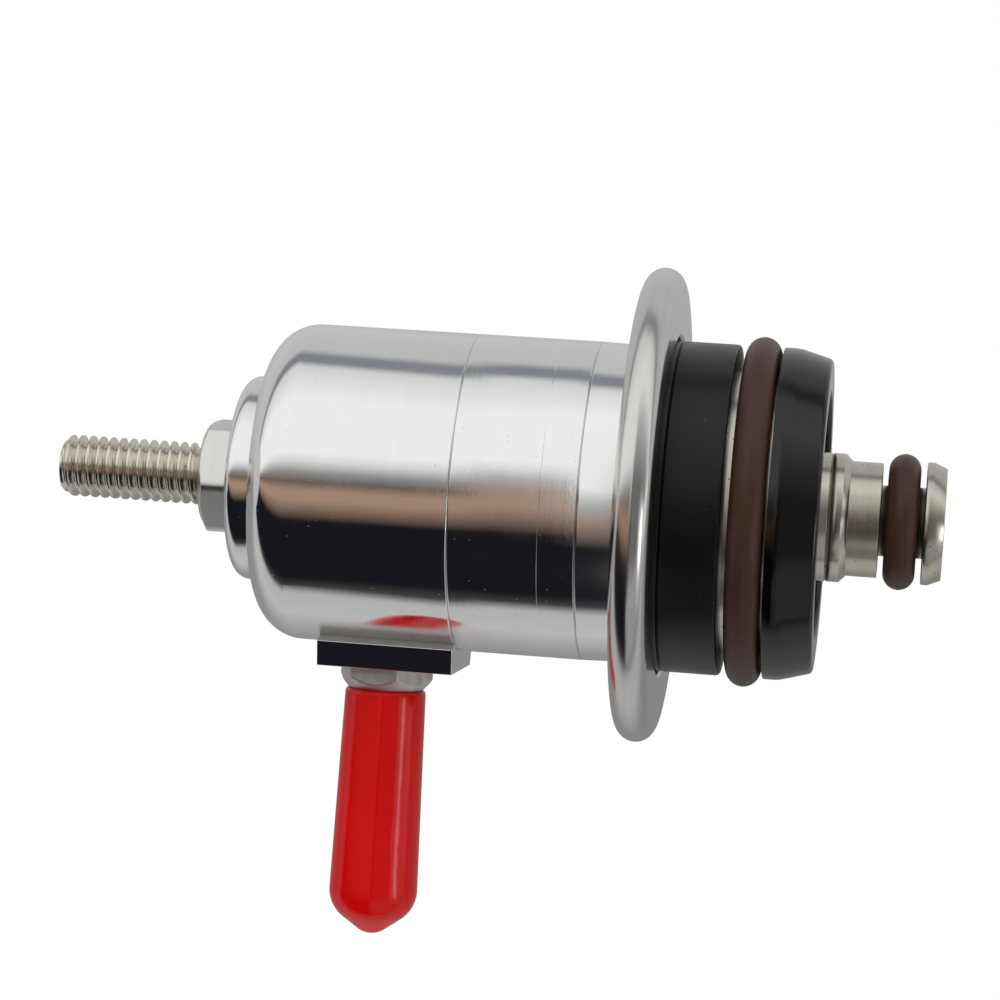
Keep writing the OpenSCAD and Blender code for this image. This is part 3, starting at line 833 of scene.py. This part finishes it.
def make_support_rings():
    ring_r, bore = front_high.z, 13.12
    line, line_width, line_depth = front_low.x + 1.3, 0.2, 0.2
    low, high = front_low.x, front_high.x
    bm = spun(
        [
            (low, bore),
            (low, ring_r),
            *scribed(line, ring_r, line_width, line_depth),
            (high - 0.3, ring_r),
            (high - 0.08, ring_r - 0.07),
            (high, ring_r - 0.2),
            (high, bore),
        ],
        steps=240,
    )
    break_edges(bm, 0.09)
    piece("front_ring", bm, "housing", MATTE_BLACK, ["front_support_ring"])
    low, high = rear_low.x, rear_high.x
    end_r, end_round, crown_r = ring_r - 0.75, 0.5, 4.0
    lip_r, lip_len = 11.6, 0.8
    bm = spun(
        [
            (low, bore),
            (low, ring_r),
            *arc(low + 0.9, ring_r - crown_r, crown_r, 90, 78, 6),
            *arc(high - end_round, end_r - end_round, end_round, 76, 0, 8),
            (high, lip_r + 0.2),
            (high - 0.2, lip_r),
            (high - lip_len, lip_r),
            (high - lip_len, bore),
        ],
        steps=240,
    )
    break_edges(bm, 0.09)
    piece("rear_ring", bm, "housing", SATIN_BLACK, ["rear_support_ring"])


def make_seal(name, node, low, high):
    """A ring of round section with the fine flash line that its mould leaves."""
    section = (high.x - low.x) / 2
    middle_r = high.z - section
    mid_x = (high.x + low.x) / 2
    flash, steps = 0.025, 72
    outline = arc(mid_x, middle_r, section - flash, 90, 450, steps)[:-1]
    outline[0] = (mid_x, middle_r + section)
    outline[steps // 2] = (mid_x, middle_r - section)
    piece(name, spun(outline, steps=240), "housing", BROWN_RUBBER, [node])


def make_inlet_screen():
    """Woven wire screen, cut to a ring between the cup's neck and the rear ring's lip."""
    inner, outer, pitch, wire, rim_wire = 6.1, 12.95, 0.52, 0.075, 0.15
    middle = (screen_low.x + screen_high.x) / 2
    lift = wire * 1.02
    curve = bpy.data.curves.new("screen_wires", "CURVE")
    curve.dimensions = "3D"
    curve.bevel_depth = wire * MM
    curve.bevel_resolution = 0
    count = int(outer / pitch)
    for across in (False, True):
        for i in range(-count, count + 1):
            offset = (i + 0.5) * pitch
            if abs(offset) >= outer - 0.05:
                continue
            far = math.sqrt(outer**2 - offset**2)
            near = math.sqrt(inner**2 - offset**2) if abs(offset) < inner else 0.0
            spans = [(-far, -near), (near, far)] if near else [(-far, far)]
            for first, last in spans:
                steps = max(2, int((last - first) / (pitch / 2)))
                spline = curve.splines.new("POLY")
                spline.points.add(steps)
                for k, t in enumerate(between(first, last, steps)):
                    over = 1 if (i % 2 == 0) != across else -1
                    side = math.cos(math.pi * (t / pitch - 0.5)) * over
                    y, z = (t, offset) if across else (offset, t)
                    spline.points[k].co = ((middle + lift * side) * MM, y * MM, z * MM, 1.0)
    woven = bpy.data.objects.new("screen_wires", curve)
    bpy.context.scene.collection.objects.link(woven)
    whole = woven.evaluated_get(bpy.context.evaluated_depsgraph_get())
    mesh = bpy.data.meshes.new_from_object(whole)
    bpy.data.objects.remove(woven)
    bm = bmesh.new()
    bm.from_mesh(mesh)
    bpy.data.meshes.remove(mesh)
    rim = spun(arc(middle, outer, rim_wire, 0, 360, 8)[:-1], steps=120)
    rim_mesh = bpy.data.meshes.new("screen_rim")
    rim.to_mesh(rim_mesh)
    rim.free()
    bm.from_mesh(rim_mesh)
    bpy.data.meshes.remove(rim_mesh)
    piece("woven_screen", bm, "housing", SCREEN_WIRE, ["inlet_screen"], even_normals=False)


# Vacuum port: nipple and its protective cap


def make_vacuum_nipple():
    across, turn, flats_from, corner_round = 8.0, 82.0, 3.4, 0.07
    tube_r, barb_r, tip_r, bore = 2.2, 2.7, 1.7, 1.1
    centre = ((nipple_low.x + nipple_high.x) / 2, 0.0)
    top = cover_low.z
    low = top - 2.2
    end = nipple_low.z
    corner = across / math.sqrt(3.0) - 0.02
    washer_r = across / 2 * 0.89
    slope = math.tan(math.radians(48))
    places = between(top, low, 24)
    outline = [(top, bore), *[(z, min(corner, washer_r + (z - low) / slope)) for z in places]]
    outline += [(low, tube_r), (end + 5.0, tube_r), (end + 3.8, barb_r), (end + 2.6, barb_r)]
    outline += [(end, tip_r), (end, bore)]
    bm = spun(outline, centre, "Z", steps=360)
    cut_hexagon(bm, across, turn, flats_from, corner_round, "Z", centre)
    piece("hose_nipple", bm, "housing", NIPPLE_ZINC, ["vacuum_nipple"])


def make_cap():
    centre = ((cap_low.x + cap_high.x) / 2, 0.0)
    top, end = cap_high.z, cap_low.z
    mouth, lip, belly, bore, depth = 3.83, 0.45, cap_high.x - centre[0], 2.75, 15.0
    shoulder_r, nose_r, taper = 3.3, 2.3, 4.2
    shoulder = Vector((belly - shoulder_r, end + taper))
    nose = Vector((0.0, end + nose_r))
    gap = shoulder - nose
    meet = math.degrees(math.atan2(gap.y, gap.x) - math.acos((nose_r - shoulder_r) / gap.length))
    edge = [(z, r) for r, z in arc(mouth - lip, top - lip, lip, 90, 0, 8)]
    start = edge[-1]
    knee = (shoulder.y, belly)
    rise = (knee[0] - start[0], knee[1] - start[1])
    side = [(start[0] + rise[0] * t, start[1] + rise[1] * t) for t in between(0, 1, 24)]
    bend = [(z, r) for r, z in arc(shoulder.x, shoulder.y, shoulder_r, 0, meet, 14)]
    tip = [(z, r) for r, z in arc(nose.x, nose.y, nose_r, meet, -90, 12)]
    inside = [(top - depth, 0.0), (top - depth, bore), (top, bore)]
    outline = [*inside, *edge, *side[1:], *bend[1:], *tip[1:]]
    bm = spun(outline, centre, "Z", steps=144, closed=False)
    piece("vinyl_cap", bm, "cap", RED_VINYL, ["protective_cap"])


# Inside: the spring, and the finishes of the imported nodes


def make_pressure_spring():
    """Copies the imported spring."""
    bm = bmesh.new()
    bm.from_mesh(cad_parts["pressure_spring"].data)
    bmesh.ops.remove_doubles(bm, verts=bm.verts, dist=SAME_PLACE)
    packed = ["pressure_spring"]
    spring = piece("coil_spring", bm, None, SPRING_STEEL, packed, even_normals=False)
    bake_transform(spring)


make_cover()
make_port_pad()
make_sleeve()
make_clamp_shell()
make_adjusting_screw()
make_lock_nut()
make_base_cup()
make_outlet_stem()
make_support_rings()
make_seal("large_seal", "large_seal_ring", large_low, large_high)
make_seal("small_seal", "small_seal_ring", small_low, small_high)
make_inlet_screen()
make_vacuum_nipple()
make_cap()
make_pressure_spring()

INNER_FINISHES = {
    "cover_seal": BROWN_RUBBER,
    "upper_spring_seat": INNER_STEEL,
    "lower_spring_seat": INNER_STEEL,
    "diaphragm": BLACK_RUBBER,
    "diaphragm_washer": INNER_STEEL,
    "valve_holder": INNER_STEEL,
    "valve_disc": INNER_STEEL,
}
for node_name, finish in INNER_FINISHES.items():
    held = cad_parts[node_name].data.materials
    held.clear()
    held.append(finish)


# Stage: cards that the polished metal mirrors, white floor, world, lamps and camera


def only_mirrored(obj):
    """Shows a card in reflections, and neither to the camera nor in the light."""
    obj.visible_camera = False
    obj.visible_diffuse = False
    obj.visible_shadow = False
    obj.visible_transmission = False


def make_card(name, x_low, x_high, shades, lean=0.0):
    """A curved card round X. Its shades are placed by the angle above the horizon in front, in degrees.

    They lean by so many degrees for each millimetre along X.
    """
    radius, steps = 600.0, 48
    start, end = shades[0][0], shades[-1][0]
    middle = math.radians((start + end) / 2)
    half = (end - start) / 2
    bm = bmesh.new()
    first = Matrix.Rotation(math.radians(-start), 4, "X") @ Vector((0, -radius, 0))
    ends = [bm.verts.new((Vector((x, 0, 0)) + first) * MM) for x in (x_low, x_high)]
    edge = bm.edges.new(ends)
    bmesh.ops.spin(
        bm,
        geom=ends + [edge],
        cent=(0, 0, 0),
        axis=AXIS_X,
        dvec=(0, 0, 0),
        angle=math.radians(start - end),
        steps=steps,
        use_merge=False,
        use_normal_flip=False,
        use_duplicate=False,
    )
    mesh = bpy.data.meshes.new(name)
    bm.to_mesh(mesh)
    bm.free()
    f = new_finish(name)
    here = f.place()
    outwards = (0, -math.cos(middle), math.sin(middle))
    upwards = (0, math.sin(middle), math.cos(middle))
    towards = f.node("VectorMath", {"operation": "DOT_PRODUCT"}, {0: here, 1: outwards}, out="Value")
    above = f.node("VectorMath", {"operation": "DOT_PRODUCT"}, {0: here, 1: upwards}, out="Value")
    angle = above.angle_over(towards) * (180 / math.pi)
    if lean:
        angle = angle - (f.part_of(here, "X") / MM - (x_low + x_high) / 2) * lean
    stops = [((place - start) / (end - start), rgb(*colour)) for place, colour in shades]
    shade = f.node("ValToRGB", {"stops": stops}, {0: f.fade(angle, -half, half)})
    glow = f.node("Emission", {}, {"Color": shade, "Strength": 1.0})
    f.node("OutputMaterial", {}, {"Surface": glow})
    mesh.materials.append(f.owner)
    card = bpy.data.objects.new(name, mesh)
    bpy.context.scene.collection.objects.link(card)
    only_mirrored(card)


def grey(level):
    return (level, level, level)


WHITE = grey(1.0)
BLACK = (0.01, 0.01, 0.014)
SLATE = (0.25, 0.265, 0.285)
BROWN = (0.42, 0.28, 0.2)
DARK_BROWN = (0.16, 0.12, 0.1)
WARM_GREY = (0.4, 0.31, 0.26)
# Angles in degrees where the cards in front and behind meet, and places in millimetres where cards end along X
UNDER, OVER = -79, 62
CARD_EDGES = (-60000, -3000, -168, -104, -68.7, -25, 45, 690, 4000)


def make_behind(name, x_low, x_high, line, lean=0.0):
    """A part of the back wall and of the table behind, with a slate line that runs along it at one angle."""
    shades = [
        (OVER, WHITE),
        (OVER + 20, grey(0.83)),
        (line - 9, grey(0.75)),
        (line - 3, SLATE),
        (line + 4, SLATE),
        (line + 11, grey(0.58)),
        (150, grey(0.6)),
        (177, grey(0.48)),
        (187, grey(0.28)),
        (219, grey(0.32)),
        (250, grey(0.57)),
        (273, grey(0.52)),
        (UNDER + 360, grey(0.05)),
    ]
    make_card(name, x_low, x_high, shades, lean)


def make_front(name, x_low, x_high, middle, light):
    """A part of what stands in front: a black table, a band above it, and white from some angle up."""
    table = [(UNDER, grey(0.05)), (UNDER + 8, BLACK)]
    make_card(name, x_low, x_high, [*table, *middle, (light, WHITE)])


def make_cards():
    """The room that the metal mirrors: a dark table in front below, and pale walls behind and at the sides."""
    far, left, boss, seam, collar, ring, stem, beside, right = CARD_EDGES
    make_behind("card_behind_left", left, boss, 102)
    make_behind("card_behind_cover", boss, seam, 99, -0.1)
    make_behind("card_behind_sleeve", seam, collar, 101)
    make_behind("card_behind_rail", collar, right, 96)
    dusk = [(-26, BLACK), (-11, BROWN), (-5, BROWN), (1.5, DARK_BROWN), (8, grey(0.31)), (16, grey(0.8))]
    make_front("card_cover", left, seam, dusk, 22)
    dusk = [(-25, BLACK), (-5, BROWN), (7, WARM_GREY), (14, grey(0.48)), (21, grey(0.82))]
    make_front("card_sleeve", seam, collar, dusk, 26)
    dusk = [(-32, BLACK), (-12, WARM_GREY), (-5, grey(0.45)), (2, grey(0.63))]
    make_front("card_collar", collar, ring, dusk, 10)
    by_stem = [(UNDER, grey(0.3)), (-65, grey(0.2)), (-51, grey(0.45)), (-38, grey(0.12)), (-25, grey(0.05))]
    by_stem += [(-1, (0.045, 0.035, 0.025)), (11, grey(0.09)), (23, grey(0.34)), (35, grey(0.57))]
    by_stem += [(47, grey(0.66)), (OVER, WHITE)]
    make_card("card_stem", ring, stem, by_stem)
    near = [(UNDER, grey(0.4)), (-39, grey(0.42)), (-25, grey(0.18)), (13, grey(0.2)), (37, grey(0.5))]
    make_card("card_right", stem, beside, [*near, (OVER, WHITE)])
    away = [(UNDER, grey(0.46)), (-39, grey(0.8)), (-10, grey(0.87)), (13, grey(0.22)), (37, grey(0.42))]
    make_card("card_far_right", beside, right, [*away, (OVER, WHITE)])
    all_round = [(UNDER, grey(0.55)), (0, grey(0.58)), (140, grey(0.6)), (UNDER + 360, grey(0.55))]
    make_card("card_far_left", far, left, all_round)


def bright_to_view(f):
    """1 for rays of the camera and for rays that metal and glass send on, 0 for light on the object."""
    seen = f.node("LightPath", out="Is Camera Ray")
    mirrored = f.node("LightPath", out="Is Glossy Ray")
    through = f.node("LightPath", out="Is Transmission Ray")
    return seen.most(mirrored).most(through)


def make_floor():
    half, height = 3.0, -0.09
    bm = bmesh.new()
    placed = Matrix.Translation((0, 0, height))
    bmesh.ops.create_grid(bm, x_segments=1, y_segments=1, size=half, matrix=placed)
    mesh = bpy.data.meshes.new("floor")
    bm.to_mesh(mesh)
    bm.free()
    f = new_finish("white_paper")
    paper = f.node("BsdfDiffuse", {}, {"Color": rgb(0.85, 0.85, 0.85)})
    glow = f.node("Emission", {}, {"Color": rgb(1, 1, 1), "Strength": 1.0})
    both = f.node("MixShader", {}, {0: bright_to_view(f), 1: paper, 2: glow})
    f.node("OutputMaterial", {}, {"Surface": both})
    mesh.materials.append(f.owner)
    floor = bpy.data.objects.new("floor", mesh)
    bpy.context.scene.collection.objects.link(floor)
    floor.visible_glossy = False


def make_world():
    world = bpy.data.worlds.new("white_studio")
    bpy.context.scene.world = world
    f = Finish(world)
    level = 0.5
    strength = level + bright_to_view(f) * (1.0 - level)
    light = f.node("Background", {}, {"Color": rgb(1, 1, 1), "Strength": strength})
    f.node("OutputWorld", {}, {"Surface": light})


def make_lamp(name, place, target, width, height, radiance, mirrored):
    """A soft box of a given brightness that faces a point, mirrored by the metal or not, in metres."""
    lamp = bpy.data.lights.new(name, "AREA")
    lamp.shape = "RECTANGLE"
    lamp.size, lamp.size_y = width, height
    lamp.energy = radiance * math.pi * width * height
    obj = bpy.data.objects.new(name, lamp)
    obj.location = place
    obj.rotation_euler = (Vector(target) - Vector(place)).to_track_quat("-Z", "Y").to_euler()
    obj.visible_camera = False
    obj.visible_glossy = mirrored
    bpy.context.scene.collection.objects.link(obj)


def make_camera():
    """The photograph's viewpoint: the axis slightly turned and tilted, seen through a long lens."""
    right = Vector((0.98848, 0.13729, 0.06372))
    up = Vector((-0.06831, 0.02899, 0.99724))
    back = Vector((0.13506, -0.99011, 0.03804))
    place = (0.02256, -0.28387, 0.010375)
    data = bpy.data.cameras.new("photo_camera")
    data.sensor_width = 36.0
    data.lens = 109.16
    data.clip_start, data.clip_end = 0.01, 20.0
    camera = bpy.data.objects.new("photo_camera", data)
    turn = Matrix((right, up, back)).transposed().to_4x4()
    camera.matrix_world = Matrix.Translation(place) @ turn
    bpy.context.scene.collection.objects.link(camera)
    bpy.context.scene.camera = camera


make_cards()
make_floor()
make_world()
make_lamp(
    "top_soft_box",
    place=(0.0, -0.3, 0.55),
    target=(0, 0, 0),
    width=0.9,
    height=0.7,
    radiance=1.25,
    mirrored=False,
)
make_lamp(
    "right_strip",
    place=(0.45, -0.21, -0.1),
    target=(-0.026, 0, -0.03),
    width=0.08,
    height=0.16,
    radiance=3.0,
    mirrored=True,
)
make_camera()
bpy.context.scene.view_settings.view_transform = "Standard"
